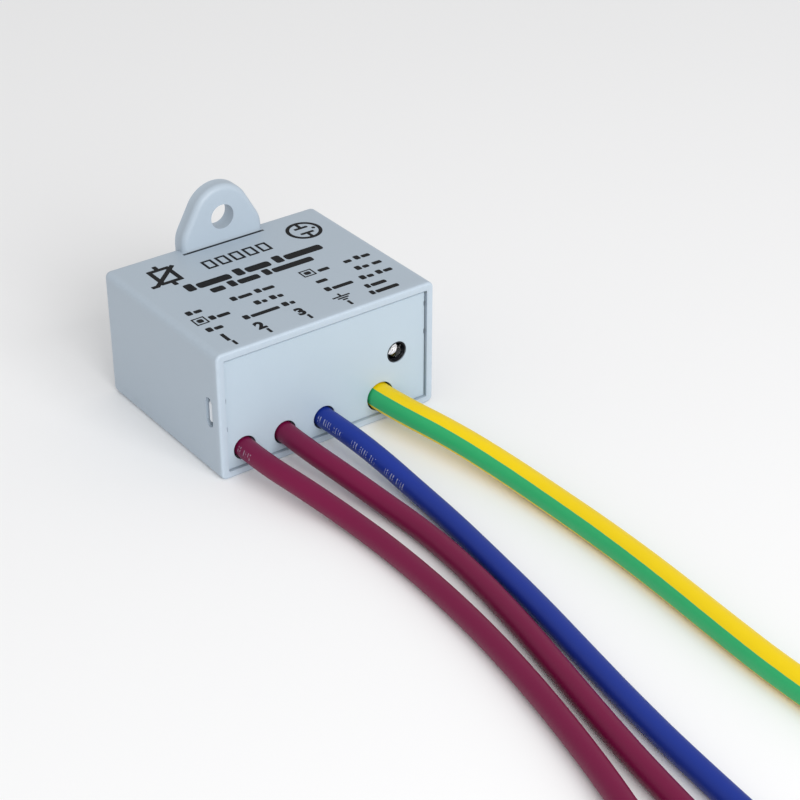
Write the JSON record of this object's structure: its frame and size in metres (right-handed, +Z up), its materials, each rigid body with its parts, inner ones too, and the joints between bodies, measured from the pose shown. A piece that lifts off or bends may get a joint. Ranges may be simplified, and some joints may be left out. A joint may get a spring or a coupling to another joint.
{
  "type": "wired surge protector module",
  "caption": "Moulded box with a screw ear and snap-in cover, holding varistors, gas tube and indicator lamp, with stripped leads for line in, line out, neutral and earth.",
  "frame": {"origin": "middle of the underside of the box, leads left out", "axes": "+X along the cover towards the lamp, +Y towards the back wall with the screw ear, +Z up; the leads leave towards -Y"},
  "size_m": [0.0433, 0.1355, 0.0303],
  "materials": {
    "housing_plastic": "satin moulded",
    "cover_plastic": "satin moulded",
    "board_laminate": "solder mask over glass laminate",
    "copper": "tinned copper foil",
    "solder": "bright solder",
    "varistor_epoxy": "dipped epoxy",
    "tinned_wire": "tinned",
    "fuse_brass": "drawn can",
    "fuse_resin": "cast resin",
    "ceramic": "glazed ceramic",
    "nickel": "nickel plated",
    "clear_lens": "clear cast epoxy",
    "black_plastic": "moulded",
    "resistor_lacquer": "lacquered",
    "diode_epoxy": "moulded epoxy",
    "brown_pvc": "extruded PVC",
    "blue_pvc": "extruded PVC",
    "earth_pvc": "extruded PVC, green and yellow",
    "bare_copper": "stranded copper"
  },
  "bodies": {
    "module": {"housing_shell": "housing_plastic", "front_cover": "cover_plastic", "circuit_board": "board_laminate", "copper_tracks": "copper", "solder_joints": "solder", "line_varistor_disc": "varistor_epoxy", "line_varistor_pins": "tinned_wire", "earth_varistor_disc": "varistor_epoxy", "earth_varistor_pins": "tinned_wire", "thermal_fuse_can": "fuse_brass", "thermal_fuse_seal": "fuse_resin", "thermal_fuse_pins": "tinned_wire", "gas_tube_ceramic": "ceramic", "gas_tube_caps": "nickel", "gas_tube_pins": "tinned_wire", "lamp_lens": "clear_lens", "lamp_cup_lead": "nickel", "lamp_post_lead": "nickel", "lamp_holder": "black_plastic", "feed_resistors": "resistor_lacquer", "feed_resistor_pins": "tinned_wire", "feed_diode": "diode_epoxy", "feed_diode_pins": "tinned_wire", "line_in_inner_insulation": "brown_pvc", "line_in_inner_core": "bare_copper", "line_in_lead": "brown_pvc", "line_in_stripped_end": "tinned_wire", "line_out_inner_insulation": "brown_pvc", "line_out_inner_core": "bare_copper", "line_out_lead": "brown_pvc", "line_out_stripped_end": "tinned_wire", "neutral_inner_insulation": "blue_pvc", "neutral_inner_core": "bare_copper", "neutral_lead": "blue_pvc", "neutral_stripped_end": "tinned_wire", "earth_inner_insulation": "earth_pvc", "earth_inner_core": "bare_copper", "earth_lead": "earth_pvc", "earth_stripped_end": "tinned_wire"},
    "left_latch": {"left_latch": "cover_plastic"},
    "right_latch": {"right_latch": "cover_plastic"}
  },
  "joints": [
    {"name": "left_latch_flex", "type": "hinge", "parent": "module", "child": "left_latch", "pos_m": [-0.01728, -0.00635, 0.01045], "axis": [0, 0, 1], "range_deg": [0, 9.5], "stiffness_Nm_per_rad": 0.05},
    {"name": "right_latch_flex", "type": "hinge", "parent": "module", "child": "right_latch", "pos_m": [0.01728, -0.00635, 0.0149], "axis": [0, 0, -1], "range_deg": [0, 9.5], "stiffness_Nm_per_rad": 0.05}
  ]
}
